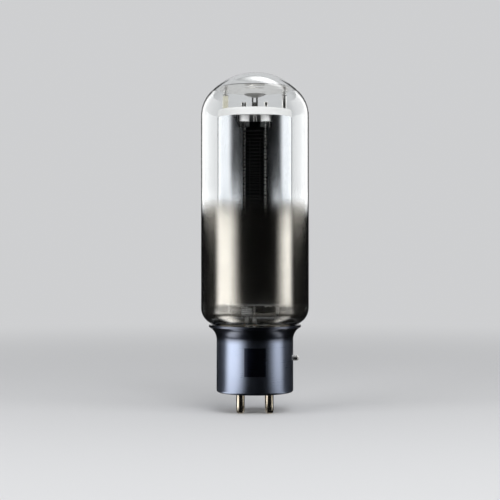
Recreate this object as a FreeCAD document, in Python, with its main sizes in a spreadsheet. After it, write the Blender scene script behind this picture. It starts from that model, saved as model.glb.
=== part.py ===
import FreeCAD, Part
import math
import os
import re
from FreeCAD import Vector
from Sketcher import Constraint as constraint

# Power triode tube, millimetres, +Z up. The origin is on the axis, level with the tips of the pins.
# The front, with the open slot of the anode, faces -Y. The bayonet pin points to +X.

os.makedirs("parts", exist_ok=True)
doc = FreeCAD.newDocument("PowerTriode")
sheet = doc.addObject("Spreadsheet::Sheet", "Sizes")

SIZES = [
    ("pin_diameter", 4.75), ("pin_drop", 11.6), ("pin_spacing", 16.4), ("pin_bore", 2.6),
    ("pin_tip_round", 1.7), ("pin_flange_radius", 3.6), ("pin_flange_height", 1.0),
    ("pin_tail", 2.0), ("pin_bore_rise", 1.4), ("pin_shank_inset", 0.275),
    ("shell_radius", 22.0), ("shell_wall", 1.5), ("shell_edge_round", 1.2), ("base_height", 38.4),
    ("lip_height", 1.5), ("lip_width", 1.5), ("cove_height", 8.4), ("cove_radius", 8.0), ("rim_radius", 26.4),
    ("rim_inner_radius", 24.4), ("flare_height", 4.5),
    ("disc_thickness", 3.5), ("disc_clearance", 0.1), ("cement_rise", 1.0), ("cement_length", 6.5),
    ("bayonet_radius", 1.5), ("bayonet_length", 3.0), ("bayonet_height", 19.3), ("bayonet_tip_round", 0.9),
    ("bayonet_shank_radius", 1.2), ("bayonet_standoff", 0.1),
    ("bayonet_head_radius", 2.4), ("bayonet_head_height", 1.0), ("bayonet_head_gap", 0.2),
    ("bulb_radius", 31.0), ("bulb_wall", 1.2), ("rim_gap", 1.31437), ("shoulder_radius", 10.5),
    ("neck_radius", 18.5), ("neck_blend_radius", 4.0), ("neck_depth", 12.5), ("dome_drop", 3.3),
    ("dome_height", 25.0), ("knuckle_radius", 20.0),
    ("stem_radius", 16.9), ("stem_wall", 1.4), ("stem_flange", 1.5), ("header_rise", 1.0),
    ("header_thickness", 4.0), ("header_round", 1.0), ("exhaust_radius", 3.0), ("exhaust_wall", 0.8),
    ("exhaust_tip", 12.4),
    ("lead_wire_radius", 0.5), ("lead_bend_drop", 29.0), ("lead_bend_rise", 21.0),
    ("support_radius", 1.0), ("support_left", 14.2), ("support_right", 13.0), ("support_collar_radius", 2.0),
    ("support_collar_height", 1.4), ("left_support_tail", 2.4), ("right_support_tail", 6.0),
    ("filament_lead_radius", 0.6), ("filament_lead_left", 4.7), ("filament_lead_right", 0.2),
    ("filament_lead_front", 4.0), ("ferrule_height", 3.0), ("ferrule_wall", 0.65),
    ("strap_thickness", 0.8), ("strap_half_width", 1.5),
    ("coil_radius", 2.9), ("coil_wire_radius", 0.4), ("coil_pitch", 1.26), ("coil_turns", 4.8),
    ("coil_gap", 0.1),
    ("plate_radius", 21.1), ("plate_thickness", 4.4), ("plate_round", 1.0), ("lower_plate_rise", 10.6),
    ("anode_radius", 21.4), ("anode_wall", 0.8), ("anode_length", 102.5), ("slot_half_width", 6.7),
    ("notch_gap", 0.35),
    ("rod_radius", 0.85), ("rod_across", 6.2), ("rod_front", 14.9), ("rod_tip", 1.0), ("fit_gap", 0.05),
    ("bushing_radius", 3.05), ("bushing_height", 3.6), ("bushing_clearance", 0.35),
    ("tag_radius", 0.45), ("tag_length", 3.4), ("tag_offset", 2.1),
    ("ring_half_width", 1.4), ("ring_thickness", 0.6), ("sheet_strap_thickness", 0.6),
    ("sheet_strap_half_width", 2.0),
    ("winding_wire_radius", 0.15), ("winding_pitch", 2.0), ("winding_start", 8.0), ("winding_end_gap", 8.5),
    ("filament_radius", 0.25), ("strand_gap", 6.0), ("filament_post_radius", 1.0), ("filament_post_top", 6.0),
    ("filament_post_tail", 1.6), ("lower_bend_rise", 14.0), ("upper_bend_drop", 13.5), ("hook_wire_radius", 0.45),
    ("hook_radius", 1.1), ("hook_tip", 0.8), ("hook_top", 2.0), ("nut_wall", 0.8), ("nut_height", 1.6),
    ("top_pin_height", 3.0), ("twin_pin_radius", 0.7), ("twin_pin_half_gap", 0.8), ("head_pin_radius", 0.8),
    ("head_radius", 1.15), ("head_height", 1.6), ("top_pin_round", 0.5),
    ("stud_radius", 1.1), ("stud_shank_radius", 0.6), ("stud_front", 15.5), ("stud_length", 3.6),
    ("post_offset", 16.9), ("post_radius", 0.7), ("post_foot_radius", 1.6), ("post_foot_height", 1.6),
    ("sleeve_radius", 1.7), ("tube_radius", 1.25), ("sleeve_length", 8.4), ("spring_length", 3.7),
    ("spring_wire_radius", 0.35), ("left_spring_radius", 1.3), ("right_spring_radius", 1.1), ("spring_pitch", 1.3),
    ("mica_radius", 21.1), ("mica_thickness", 0.3), ("cap_radius", 1.3), ("cap_height", 0.8), ("post_tip", 0.3),
    ("fork_half_width", 1.7), ("fork_half_depth", 1.2), ("fork_height", 4.6), ("prong_width", 0.9),
    ("prong_height", 2.8), ("dish_radius", 6.2), ("dish_depth", 2.0), ("dish_wall", 0.4), ("dish_gap", 0.05),
]

for row, (alias, amount) in enumerate(SIZES, start=1):
    sheet.set(f"A{row}", alias)
    sheet.set(f"B{row}", str(amount))
    sheet.setAlias(f"B{row}", alias)
doc.recompute()
ALIASES = {alias for alias, amount in SIZES}

# Heights and radii that follow from the driving sizes.
DERIVED = {
    "pin_radius": "pin_diameter / 2",
    "pin_shank_radius": "pin_radius - pin_shank_inset",
    "pin_reach": "pin_spacing / 2",
    "shell_inner": "shell_radius - shell_wall",
    "lip_inner": "shell_radius - shell_wall - lip_width",
    "lip_top": "pin_drop + lip_height",
    "disc_top": "lip_top + disc_thickness",
    "pin_bore_bottom": "pin_drop + pin_bore_rise",
    "base_top": "pin_drop + base_height",
    "cove_bottom": "base_top - cove_height",
    "cove_top": "cove_bottom + sqrt(cove_radius ^ 2 - (shell_radius + cove_radius - rim_radius) ^ 2)",
    "neck_bottom": "base_top - neck_depth",
    "shoulder_top": "base_top + rim_gap + sqrt(shoulder_radius ^ 2 - (rim_radius - shoulder_centre) ^ 2)",
    "shoulder_centre": "bulb_radius - shoulder_radius",
    "blend_centre": "neck_radius + neck_blend_radius",
    "blend_level": "shoulder_top - sqrt((shoulder_radius + neck_blend_radius) ^ 2"
                   " - (blend_centre - shoulder_centre) ^ 2)",
    "blend_share": "shoulder_radius / (shoulder_radius + neck_blend_radius)",
    "blend_end_across": "shoulder_centre + (blend_centre - shoulder_centre) * blend_share",
    "blend_end_up": "shoulder_top + (blend_level - shoulder_top) * blend_share",
    "inner_blend_share": "(shoulder_radius - bulb_wall) / (shoulder_radius + neck_blend_radius)",
    "inner_blend_across": "shoulder_centre + (blend_centre - shoulder_centre) * inner_blend_share",
    "inner_blend_up": "shoulder_top + (blend_level - shoulder_top) * inner_blend_share",
    "dome_base": "top_level - dome_drop",
    "crown_radius": "((bulb_radius - knuckle_radius) ^ 2 + dome_height ^ 2 - knuckle_radius ^ 2)"
                    " / (2 * (dome_height - knuckle_radius))",
    "crown_drop": "crown_radius - dome_height",
    "crown_share": "crown_radius / (crown_radius - knuckle_radius)",
    "inner_crown_share": "(crown_radius - bulb_wall) / (crown_radius - knuckle_radius)",
    "stem_top": "base_top + header_rise",
    "lead_bend_start": "stem_top - lead_bend_drop",
    "lead_bend_end": "lead_bend_start + lead_bend_rise",
    "header_bottom": "stem_top - header_thickness",
    "exhaust_bottom": "pin_drop + exhaust_tip",
    "plate_bottom": "stem_top + lower_plate_rise",
    "floor_level": "plate_bottom + plate_thickness",
    "ceiling_level": "floor_level + anode_length",
    "top_level": "ceiling_level + plate_thickness",
    "winding_length": "anode_length - winding_start - winding_end_gap",
    "bushing_top": "floor_level + bushing_height",
    "ring_top": "bushing_top + ring_thickness",
    "rod_circle": "sqrt(rod_across ^ 2 + rod_front ^ 2)",
    "upper_bend_level": "ceiling_level - upper_bend_drop",
    "lower_bend_level": "floor_level + lower_bend_rise",
    "bend_radius": "strand_gap / 2",
    "hook_reach": "bend_radius - filament_radius + hook_radius - hook_wire_radius - fit_gap",
    "strap_bottom": "plate_bottom - strap_thickness",
    "sleeve_top": "top_level + sleeve_length",
    "mica_level": "sleeve_top + spring_length",
    "fork_top": "top_level + fork_height",
    "prong_top": "fork_top + prong_height",
    "dish_bottom": "prong_top + dish_gap",
    "dish_sphere": "(dish_radius ^ 2 + dish_depth ^ 2) / (2 * dish_depth)",
}
FUNCTIONS = {"sqrt", "atan2"}

# An arc whose chord is this near to its diameter is held by the level of its centre.
HALF_CIRCLE_MARGIN = 0.001


def formula(text):
    """Write out derived names until only cells of the sheet are left."""
    def spell(match):
        word = match.group()
        if word in FUNCTIONS:
            return word
        if word in ALIASES:
            return "Sizes." + word
        return "(" + formula(DERIVED[word]) + ")"
    return re.sub(r"[a-z][a-z_0-9]*", spell, text)


def number(text):
    """The present value of a formula."""
    result = sheet.evalExpression(formula(text))
    return float(getattr(result, "Value", result))


def bind(feature, formulas):
    """Tie properties of a feature to the sheet."""
    for name, text in formulas.items():
        feature.setExpression(name, formula(text))


def new_body(name, across="0", depth="0", angle=None):
    """A body whose own axis stands at (across, depth); angle turns it round that axis."""
    body = doc.addObject("PartDesign::Body", name)
    body.Label = name
    body.Placement = FreeCAD.Placement(Vector(), FreeCAD.Rotation(Vector(0, 0, 1), 1 if angle else 0))
    bind(body, {"Placement.Base.x": across, "Placement.Base.y": depth})
    if angle:
        bind(body, {"Placement.Rotation.Angle": angle})
    return body


def new_sketch(body, name, plane, level=None):
    """A sketch on an origin plane of the body, raised to a level where one is given."""
    sketch = body.newObject("Sketcher::SketchObject", name)
    support = [item for item in body.Origin.OriginFeatures if item.Role == plane][0]
    sketch.AttachmentSupport = [(support, "")]
    sketch.MapMode = "FlatFace"
    if level:
        bind(sketch, {"AttachmentOffset.Base.z": level})
    return sketch


def pin_point(sketch, geometry, end, across, up):
    """Hold one end point of a sketch element at a place given by two formulas."""
    for kind, text, axis in (("DistanceX", across, -2), ("DistanceY", up, -1)):
        value = number(text)
        if abs(value) < 1e-9:
            sketch.addConstraint(constraint("PointOnObject", geometry, end, axis))
            continue
        index = sketch.addConstraint(constraint(kind, -1, 1, geometry, end, value))
        sketch.setExpression(f"Constraints[{index}]", formula(text))


def draw(sketch, steps, closed=True):
    """Lines and arcs through the steps. A step is (across, up), or (across, up, radius, turn) where
    the stretch that leads to it is an arc that turns to the left or to the right."""
    points = [Vector(number(step[0]), number(step[1]), 0) for step in steps]
    stretches = list(zip(range(len(steps) - 1), range(1, len(steps))))
    if closed:
        stretches.append((len(steps) - 1, 0))
    ends = []
    for first, second in stretches:
        step = steps[second]
        start, finish = points[first], points[second]
        if len(step) == 2:
            index = sketch.addGeometry(Part.LineSegment(start, finish), False)
            ends.append((index, 1, 2))
            continue
        radius, turn = number(step[2]), step[3]
        chord = finish - start
        half = chord.Length / 2
        side = Vector(-chord.y, chord.x, 0).normalize() * (1 if turn == "left" else -1)
        centre = start + chord / 2 + side * math.sqrt(max(radius ** 2 - half ** 2, 0))
        low, high = (start, finish) if turn == "left" else (finish, start)
        low_angle = math.atan2(low.y - centre.y, low.x - centre.x)
        high_angle = math.atan2(high.y - centre.y, high.x - centre.x)
        circle = Part.Circle(centre, Vector(0, 0, 1), radius)
        index = sketch.addGeometry(Part.ArcOfCircle(circle, low_angle, high_angle), False)
        ends.append((index, 1, 2) if turn == "left" else (index, 2, 1))
        if radius - half < HALF_CIRCLE_MARGIN:
            level = number(step[1])
            held = sketch.addConstraint(constraint("DistanceY", -1, 1, index, 3, level))
            sketch.setExpression(f"Constraints[{held}]", formula(step[1]))
        else:
            held = sketch.addConstraint(constraint("Radius", index, radius))
            sketch.setExpression(f"Constraints[{held}]", formula(step[2]))
    for place, (index, start, finish) in enumerate(ends):
        first, second = stretches[place]
        pin_point(sketch, index, start, steps[first][0], steps[first][1])
        if place + 1 < len(ends):
            sketch.addConstraint(constraint("Coincident", index, finish, ends[place + 1][0],
                                                     ends[place + 1][1]))
        elif closed:
            sketch.addConstraint(constraint("Coincident", index, finish, ends[0][0], ends[0][1]))
        else:
            pin_point(sketch, index, finish, steps[second][0], steps[second][1])


def draw_circles(sketch, circles):
    """Circles given as (across, up, radius)."""
    for across, up, radius in circles:
        place = Vector(number(across), number(up), 0)
        index = sketch.addGeometry(Part.Circle(place, Vector(0, 0, 1), number(radius)), False)
        pin_point(sketch, index, 3, across, up)
        held = sketch.addConstraint(constraint("Radius", index, number(radius)))
        sketch.setExpression(f"Constraints[{held}]", formula(radius))


def turn(body, steps):
    """Revolve an outline in the XZ plane once round the body's own Z axis."""
    sketch = new_sketch(body, body.Name + "_outline", "XZ_Plane")
    draw(sketch, steps)
    solid = body.newObject("PartDesign::Revolution", body.Name + "_turned")
    solid.Profile = sketch
    solid.ReferenceAxis = (sketch, ["V_Axis"])
    solid.Angle = 360
    sketch.Visibility = False
    body.Tip = solid
    return solid


def drill(body, circles):
    """Cut round holes along Z through the whole body."""
    doc.recompute()
    before = body.Shape.Volume
    sketch = new_sketch(body, body.Name + "_hole_plan", "XY_Plane")
    draw_circles(sketch, circles)
    cut = body.newObject("PartDesign::Pocket", body.Name + "_holes")
    cut.Profile = sketch
    cut.Type = "ThroughAll"
    cut.Reversed = True
    body.Tip = cut
    doc.recompute()
    if not body.Shape.Volume < before:
        raise RuntimeError(f"the holes of {body.Name} cut nothing")


def pad(body, steps, bottom, height):
    """A flat sheet of the outline, from bottom up by height."""
    sketch = new_sketch(body, body.Name + "_plan", "XY_Plane", bottom)
    draw(sketch, steps)
    solid = body.newObject("PartDesign::Pad", body.Name + "_sheet")
    solid.Profile = sketch
    bind(solid, {"Length": height})
    body.Tip = solid


def pipe(body, plane, steps, radius, across, start_level, depth="0"):
    """A round wire along an open path that starts straight up or down at (across, depth)."""
    path = new_sketch(body, body.Name + "_path", plane)
    draw(path, steps, closed=False)
    section = new_sketch(body, body.Name + "_section", "XY_Plane", start_level)
    draw_circles(section, [(across, depth, radius)])
    wire = body.newObject("PartDesign::AdditivePipe", body.Name + "_wire")
    wire.Profile = section
    wire.Spine = path
    body.Tip = wire


def coil(body, wire_radius, radius, bottom, pitch, turns):
    """A helical spring round the body's own axis; bottom is the lowest point of its wire."""
    sketch = new_sketch(body, body.Name + "_section", "XZ_Plane")
    draw_circles(sketch, [(radius, f"({bottom}) + {wire_radius}", wire_radius)])
    spring = body.newObject("PartDesign::AdditiveHelix", body.Name + "_coil")
    spring.Profile = sketch
    spring.ReferenceAxis = (sketch, ["V_Axis"])
    spring.Mode = 0
    bind(spring, {"Pitch": pitch, "Height": f"({pitch}) * ({turns})"})
    body.Tip = spring


def cylinder(name, across, depth, bottom, height, radius):
    """A plain round bar that stands upright."""
    bar = doc.addObject("Part::Cylinder", name)
    bar.Label = name
    bind(bar, {"Placement.Base.x": across, "Placement.Base.y": depth, "Placement.Base.z": bottom,
               "Height": height, "Radius": radius})
    return bar


def box(name, corner, sides):
    """An upright block from its lowest corner."""
    block = doc.addObject("Part::Box", name)
    block.Label = name
    bind(block, {"Placement.Base.x": corner[0], "Placement.Base.y": corner[1], "Placement.Base.z": corner[2],
                 "Length": sides[0], "Width": sides[1], "Height": sides[2]})
    return block


def cut(name, base, tool):
    """One solid less another."""
    result = doc.addObject("Part::Cut", name)
    result.Label = name
    result.Base = base
    result.Tool = tool
    return result


def tube(name, across, depth, bottom, height, radius, bore):
    """An upright round tube."""
    outside = cylinder(name + "_outside", across, depth, bottom, height, radius)
    inside = cylinder(name + "_bore", across, depth, bottom, height, bore)
    return cut(name, outside, inside)


def group(name, members):
    """Like pieces that share one node, each a solid of its own."""
    result = doc.addObject("Part::Compound", name)
    result.Label = name
    result.Links = members
    return result


nodes = []

# The aluminium shell: a cup with an open bottom, an inward lip that holds the disc, straight walls
# and a collar that sweeps out in a cove under the shoulder of the glass.
base_shell = new_body("base_shell")
turn(base_shell, [
    ("lip_inner", "pin_drop"),
    ("shell_radius - shell_edge_round", "pin_drop"),
    ("shell_radius", "pin_drop + shell_edge_round", "shell_edge_round", "left"),
    ("shell_radius", "cove_bottom"),
    ("rim_radius", "cove_top", "cove_radius", "right"),
    ("rim_radius", "base_top"),
    ("rim_inner_radius", "base_top"),
    ("shell_inner", "base_top - flare_height"),
    ("shell_inner", "lip_top"),
    ("lip_inner", "lip_top"),
])
bayonet_hole_plan = new_sketch(base_shell, "base_shell_bayonet_plan", "YZ_Plane")
draw_circles(bayonet_hole_plan, [("0", "pin_drop + bayonet_height", "bayonet_shank_radius")])
doc.recompute()
solid_volume = base_shell.Shape.Volume
bayonet_hole = base_shell.newObject("PartDesign::Pocket", "base_shell_bayonet_hole")
bayonet_hole.Profile = bayonet_hole_plan
bayonet_hole.Type = "Length"
bayonet_hole.Reversed = True
bind(bayonet_hole, {"Length": "rim_radius + bayonet_length"})
base_shell.Tip = bayonet_hole
doc.recompute()
if not base_shell.Shape.Volume < solid_volume:
    raise RuntimeError("the bayonet hole cuts nothing")
nodes.append(base_shell)

# The insulating disc sits on the lip; its lower step fills the opening of the shell.
base_disc = new_body("base_disc")
turn(base_disc, [
    ("0", "pin_drop"),
    ("lip_inner - disc_clearance", "pin_drop"),
    ("lip_inner - disc_clearance", "lip_top"),
    ("shell_inner - disc_clearance", "lip_top"),
    ("shell_inner - disc_clearance", "disc_top"),
    ("0", "disc_top"),
])
CORNER_SIGNS = [(-1, -1), (1, -1), (1, 1), (-1, 1)]
drill(base_disc, [(f"{x} * pin_reach", f"{y} * pin_reach", "pin_shank_radius") for x, y in CORNER_SIGNS])
nodes.append(base_disc)

# Four contact pins, rounded at the tip. Each seats under the disc, goes through it on a thinner shank
# and is flanged above it, with a bored tail for the wire.
for count, (x, y) in enumerate(CORNER_SIGNS, start=1):
    contact_pin = new_body(f"contact_pin_{count}", f"{x} * pin_reach", f"{y} * pin_reach")
    turn(contact_pin, [
        ("0", "0"),
        ("pin_radius - pin_tip_round", "0"),
        ("pin_radius", "pin_tip_round", "pin_tip_round", "left"),
        ("pin_radius", "pin_drop"),
        ("pin_shank_radius", "pin_drop"),
        ("pin_shank_radius", "disc_top"),
        ("pin_flange_radius", "disc_top"),
        ("pin_flange_radius", "disc_top + pin_flange_height"),
        ("pin_shank_radius", "disc_top + pin_flange_height"),
        ("pin_shank_radius", "disc_top + pin_flange_height + pin_tail"),
        ("pin_bore / 2", "disc_top + pin_flange_height + pin_tail"),
        ("pin_bore / 2", "pin_bore_bottom"),
        ("0", "pin_bore_bottom"),
    ])
    nodes.append(contact_pin)

# The bayonet pin goes through the wall of the shell on a thinner shank and is headed inside it.
bayonet_pin = new_body("bayonet_pin")
turn(bayonet_pin, [
    ("0", "shell_inner - bayonet_head_gap - bayonet_head_height"),
    ("bayonet_head_radius", "shell_inner - bayonet_head_gap - bayonet_head_height"),
    ("bayonet_head_radius", "shell_inner - bayonet_head_gap"),
    ("bayonet_shank_radius", "shell_inner - bayonet_head_gap"),
    ("bayonet_shank_radius", "shell_radius + bayonet_standoff"),
    ("bayonet_radius", "shell_radius + bayonet_standoff"),
    ("bayonet_radius", "shell_radius + bayonet_length - bayonet_tip_round"),
    ("bayonet_radius - bayonet_tip_round", "shell_radius + bayonet_length", "bayonet_tip_round", "left"),
    ("0", "shell_radius + bayonet_length"),
])
bayonet_pin.Placement = FreeCAD.Placement(Vector(), FreeCAD.Rotation(Vector(0, 1, 0), 90))
bind(bayonet_pin, {"Placement.Base.z": "pin_drop + bayonet_height"})
nodes.append(bayonet_pin)

# Cement between the neck of the glass and the shell.
nodes.append(tube("basing_cement", "0", "0", "neck_bottom + cement_rise", "cement_length",
                  "shell_inner", "neck_radius"))

# The blown bulb: neck, blend, shoulder, straight wall and a dome of two arcs, one wall thick.
glass_bulb = new_body("glass_bulb")
turn(glass_bulb, [
    ("neck_radius - bulb_wall", "neck_bottom"),
    ("neck_radius", "neck_bottom"),
    ("neck_radius", "blend_level"),
    ("blend_end_across", "blend_end_up", "neck_blend_radius", "right"),
    ("bulb_radius", "shoulder_top", "shoulder_radius", "left"),
    ("bulb_radius", "dome_base"),
    ("(bulb_radius - knuckle_radius) * crown_share", "dome_base - crown_drop + crown_drop * crown_share",
     "knuckle_radius", "left"),
    ("0", "dome_base + dome_height", "crown_radius", "left"),
    ("0", "dome_base + dome_height - bulb_wall"),
    ("(bulb_radius - knuckle_radius) * inner_crown_share",
     "dome_base - crown_drop + crown_drop * inner_crown_share", "crown_radius - bulb_wall", "right"),
    ("bulb_radius - bulb_wall", "dome_base", "knuckle_radius - bulb_wall", "right"),
    ("bulb_radius - bulb_wall", "shoulder_top"),
    ("inner_blend_across", "inner_blend_up", "shoulder_radius - bulb_wall", "right"),
    ("neck_radius - bulb_wall", "blend_level", "neck_blend_radius + bulb_wall", "left"),
])
nodes.append(glass_bulb)

# The re-entrant stem: a flange fused to the neck, a skirt, the header disc and the sealed exhaust tube.
LEAD_FEET = [("-filament_lead_left", "-filament_lead_front"), ("-filament_lead_right", "-filament_lead_front"),
             ("support_right", "0"), ("-support_left", "0")]
glass_stem = new_body("glass_stem")
turn(glass_stem, [
    ("0", "exhaust_bottom"),
    ("exhaust_radius", "exhaust_bottom + exhaust_radius", "exhaust_radius", "left"),
    ("exhaust_radius", "header_bottom"),
    ("stem_radius - stem_wall", "header_bottom"),
    ("stem_radius - stem_wall", "neck_bottom - stem_flange"),
    ("neck_radius", "neck_bottom - stem_flange"),
    ("neck_radius", "neck_bottom"),
    ("stem_radius", "neck_bottom"),
    ("stem_radius", "stem_top - header_round"),
    ("stem_radius - header_round", "stem_top", "header_round", "left"),
    ("exhaust_radius - exhaust_wall", "stem_top"),
    ("exhaust_radius - exhaust_wall", "exhaust_bottom + exhaust_radius"),
    ("0", "exhaust_bottom + exhaust_wall", "exhaust_radius - exhaust_wall", "right"),
])
drill(glass_stem, [(x, y, "lead_wire_radius") for x, y in LEAD_FEET])
nodes.append(glass_stem)

# Four lead wires: up from the bore of a pin, over in two equal arcs, and through the header.
for count, ((x, y), (foot_x, foot_y)) in enumerate(zip(CORNER_SIGNS, LEAD_FEET), start=1):
    run_x = f"({foot_x} - {x} * pin_reach)"
    run_y = f"({foot_y} - {y} * pin_reach)"
    run = f"sqrt({run_x} ^ 2 + {run_y} ^ 2)"
    bend = f"({run} ^ 2 + lead_bend_rise ^ 2) / (4 * {run})"
    lead_wire = new_body(f"lead_wire_{count}", f"{x} * pin_reach", f"{y} * pin_reach",
                         f"atan2({run_y}; {run_x})")
    pipe(lead_wire, "XZ_Plane", [
        ("0", "pin_bore_bottom"),
        ("0", "lead_bend_start"),
        (f"{run} / 2", "(lead_bend_start + lead_bend_end) / 2", bend, "right"),
        (run, "lead_bend_end", bend, "left"),
        (run, "stem_top"),
    ], "lead_wire_radius", "0", "pin_bore_bottom")
    nodes.append(lead_wire)

# Two support posts stand on the header and carry the lower plate on a collar.
for name, across, tail in (("support_post_left", "-support_left", "left_support_tail"),
                           ("support_post_right", "support_right", "right_support_tail")):
    support_post = new_body(name, across)
    turn(support_post, [
        ("0", "stem_top"),
        ("support_radius", "stem_top"),
        ("support_radius", "plate_bottom - support_collar_height"),
        ("support_collar_radius", "plate_bottom - support_collar_height"),
        ("support_collar_radius", "plate_bottom"),
        ("support_radius", "plate_bottom"),
        ("support_radius", f"floor_level + {tail}"),
        ("0", f"floor_level + {tail}"),
    ])
    nodes.append(support_post)

# Two thinner rods carry the heating current to the straps under the lower plate.
for name, across in (("filament_lead_left", "-filament_lead_left"),
                     ("filament_lead_right", "-filament_lead_right")):
    nodes.append(cylinder(name, across, "-filament_lead_front", "stem_top", "plate_bottom - stem_top",
                          "filament_lead_radius"))

# A metal ferrule round the foot of each rod on the header.
ferrules = []
for count, (x, y) in enumerate(LEAD_FEET, start=1):
    bore = "filament_lead_radius" if count < 3 else "support_radius"
    ferrules.append(tube(f"ferrule_{count}", x, y, "stem_top", "ferrule_height", f"{bore} + ferrule_wall", bore))
nodes.append(group("lead_ferrules", ferrules))

# The tension spring stands round the left filament lead, right under its strap.
tension_spring = new_body("tension_spring", "-filament_lead_left", "-filament_lead_front")
coil(tension_spring, "coil_wire_radius", "coil_radius",
     "strap_bottom - coil_gap - 2 * coil_wire_radius - coil_pitch * coil_turns",
     "coil_pitch", "coil_turns")
nodes.append(tension_spring)

# Two straps under the lower plate join the filament leads to the filament posts.
FILAMENT_OUT = "(strand_gap + bend_radius)"
for side, lead, post in (("left", "-filament_lead_left", f"-{FILAMENT_OUT}"),
                         ("right", "-filament_lead_right", FILAMENT_OUT)):
    run_x = f"({post} - ({lead}))"
    run = f"sqrt({run_x} ^ 2 + filament_lead_front ^ 2)"
    strap = new_body(f"filament_strap_{side}", lead, "-filament_lead_front",
                     f"atan2(filament_lead_front; {run_x})")
    pad(strap, [
        ("-strap_half_width", "-strap_half_width"),
        (f"{run} + strap_half_width", "-strap_half_width"),
        (f"{run} + strap_half_width", "strap_half_width"),
        ("-strap_half_width", "strap_half_width"),
    ], "strap_bottom", "strap_thickness")
    drill(strap, [("0", "0", "filament_lead_radius"), (run, "0", "filament_post_radius")])
    nodes.append(strap)
    nodes.append(cylinder(f"filament_post_{side}", post, "0", "plate_bottom - filament_post_tail",
                          "plate_thickness + filament_post_tail + filament_post_top", "filament_post_radius"))

# Grid rods stand on a rectangle; the plates are bored for them and for all that passes through.
RODS = [(f"{x} * rod_across", f"{y} * rod_front") for x, y in CORNER_SIGNS]


bottom_plate = new_body("bottom_plate")
turn(bottom_plate, [
    ("0", "plate_bottom"),
    ("plate_radius - plate_round", "plate_bottom"),
    ("plate_radius", "plate_bottom + plate_round", "plate_round", "left"),
    ("plate_radius", "floor_level"),
    ("0", "floor_level"),
])
drill(bottom_plate, [(x, y, "rod_radius + fit_gap") for x, y in RODS] + [
    ("-support_left", "0", "support_radius"), ("support_right", "0", "support_radius"),
    (f"-{FILAMENT_OUT}", "0", "filament_post_radius"), (FILAMENT_OUT, "0", "filament_post_radius"),
    ("0", "hook_radius", "hook_wire_radius + fit_gap"),
])
nodes.append(bottom_plate)

top_plate = new_body("top_plate")
turn(top_plate, [
    ("0", "ceiling_level"),
    ("plate_radius", "ceiling_level"),
    ("plate_radius", "top_level - plate_round"),
    ("plate_radius - plate_round", "top_level", "plate_round", "left"),
    ("0", "top_level"),
])
HEADED = [RODS[1], RODS[2], RODS[3]]
TWIN = [(f"-rod_across + {sign} * twin_pin_half_gap", "-rod_front") for sign in (-1, 1)]
HOOK_SIDES = [("left", f"-{FILAMENT_OUT} + bend_radius"), ("right", f"{FILAMENT_OUT} - bend_radius")]
POST_SIDES = [("left", "-post_offset", "sleeve_radius", "left_spring_radius"),
              ("right", "post_offset", "tube_radius", "right_spring_radius")]
drill(top_plate, [(x, y, "head_pin_radius") for x, y in HEADED] + [(x, y, "twin_pin_radius") for x, y in TWIN] + [
    (across, "hook_radius", "hook_wire_radius + fit_gap") for side, across in HOOK_SIDES] + [
    (side[1], "0", "post_radius") for side in POST_SIDES] + [("0", "-stud_front", "stud_shank_radius")])
nodes.append(top_plate)

# The anode: sheet rolled to a cylinder between the plates, open at the front, where both edges
# are folded in towards the bushings and cut back at the top, round the bushings and their tags.
anode_wall = tube("anode_wall_tube", "0", "0", "floor_level", "anode_length", "anode_radius",
                  "anode_radius - anode_wall")
anode_slot = box("anode_slot", ("-slot_half_width", "-anode_radius - anode_wall", "floor_level"),
                 ("2 * slot_half_width", "anode_radius", "anode_length"))
anode_sheet = cut("anode_sheet", anode_wall, anode_slot)
LIP_END = "(rod_front + bushing_radius + bushing_clearance)"
lips = []
for side, corner in (("left", "-slot_half_width - anode_wall"), ("right", "slot_half_width")):
    lip_block = box(f"anode_lip_{side}_block", (corner, "-anode_radius", "floor_level"),
                    ("anode_wall", f"anode_radius - {LIP_END}", "anode_length"))
    lip = doc.addObject("Part::Common", f"anode_lip_{side}")
    lip.Base = lip_block
    lip.Tool = cylinder(f"anode_lip_{side}_limit", "0", "0", "floor_level", "anode_length", "anode_radius")
    lips.append(lip)
anode = doc.addObject("Part::MultiFuse", "anode_folded")
anode.Shapes = [anode_sheet] + lips
anode.Refine = True
for name, reach, height in (("anode_cut_back", "bushing_radius", "bushing_height"),
                            ("anode", "tag_offset + tag_radius", "bushing_height + tag_length")):
    notch = box(f"{name}_notch", (f"-(rod_across + {reach} + notch_gap)", "-anode_radius - anode_wall",
                                  f"ceiling_level - ({height} + notch_gap)"),
                (f"2 * (rod_across + {reach} + notch_gap)", "anode_radius + anode_wall - rod_front",
                 f"{height} + notch_gap"))
    anode = cut(name, anode, notch)
nodes.append(anode)


def sheet_strap(name, start, end, bottom, hole):
    """A short strip along X with a hole for the post that it is welded to."""
    strip = box(name + "_strip", (start, "-sheet_strap_half_width", bottom),
                (f"({end}) - ({start})", "2 * sheet_strap_half_width", "sheet_strap_thickness"))
    post = cylinder(name + "_hole", hole, "0", bottom, "sheet_strap_thickness", "support_radius")
    return cut(name, strip, post)


# The anode strap lies on the lower plate and reaches the wall of the anode.
ANODE_REACH = "sqrt((anode_radius - anode_wall) ^ 2 - sheet_strap_half_width ^ 2)"
nodes.append(sheet_strap("anode_strap", f"-{ANODE_REACH}", "-support_left + 2 * support_radius",
                         "floor_level", "-support_left"))

# Grid rods, with ceramic bushings at both ends.
for count, (x, y) in enumerate(RODS, start=1):
    nodes.append(cylinder(f"grid_rod_{count}", x, y, "plate_bottom - rod_tip",
                          "ceiling_level - plate_bottom + rod_tip", "rod_radius"))
for name, bottom in (("lower_bushings", "floor_level"), ("upper_bushings", "ceiling_level - bushing_height")):
    nodes.append(group(name, [
        tube(f"{name}_{count}", x, y, bottom, "bushing_height", "bushing_radius", "rod_radius + fit_gap")
        for count, (x, y) in enumerate(RODS, start=1)]))

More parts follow.
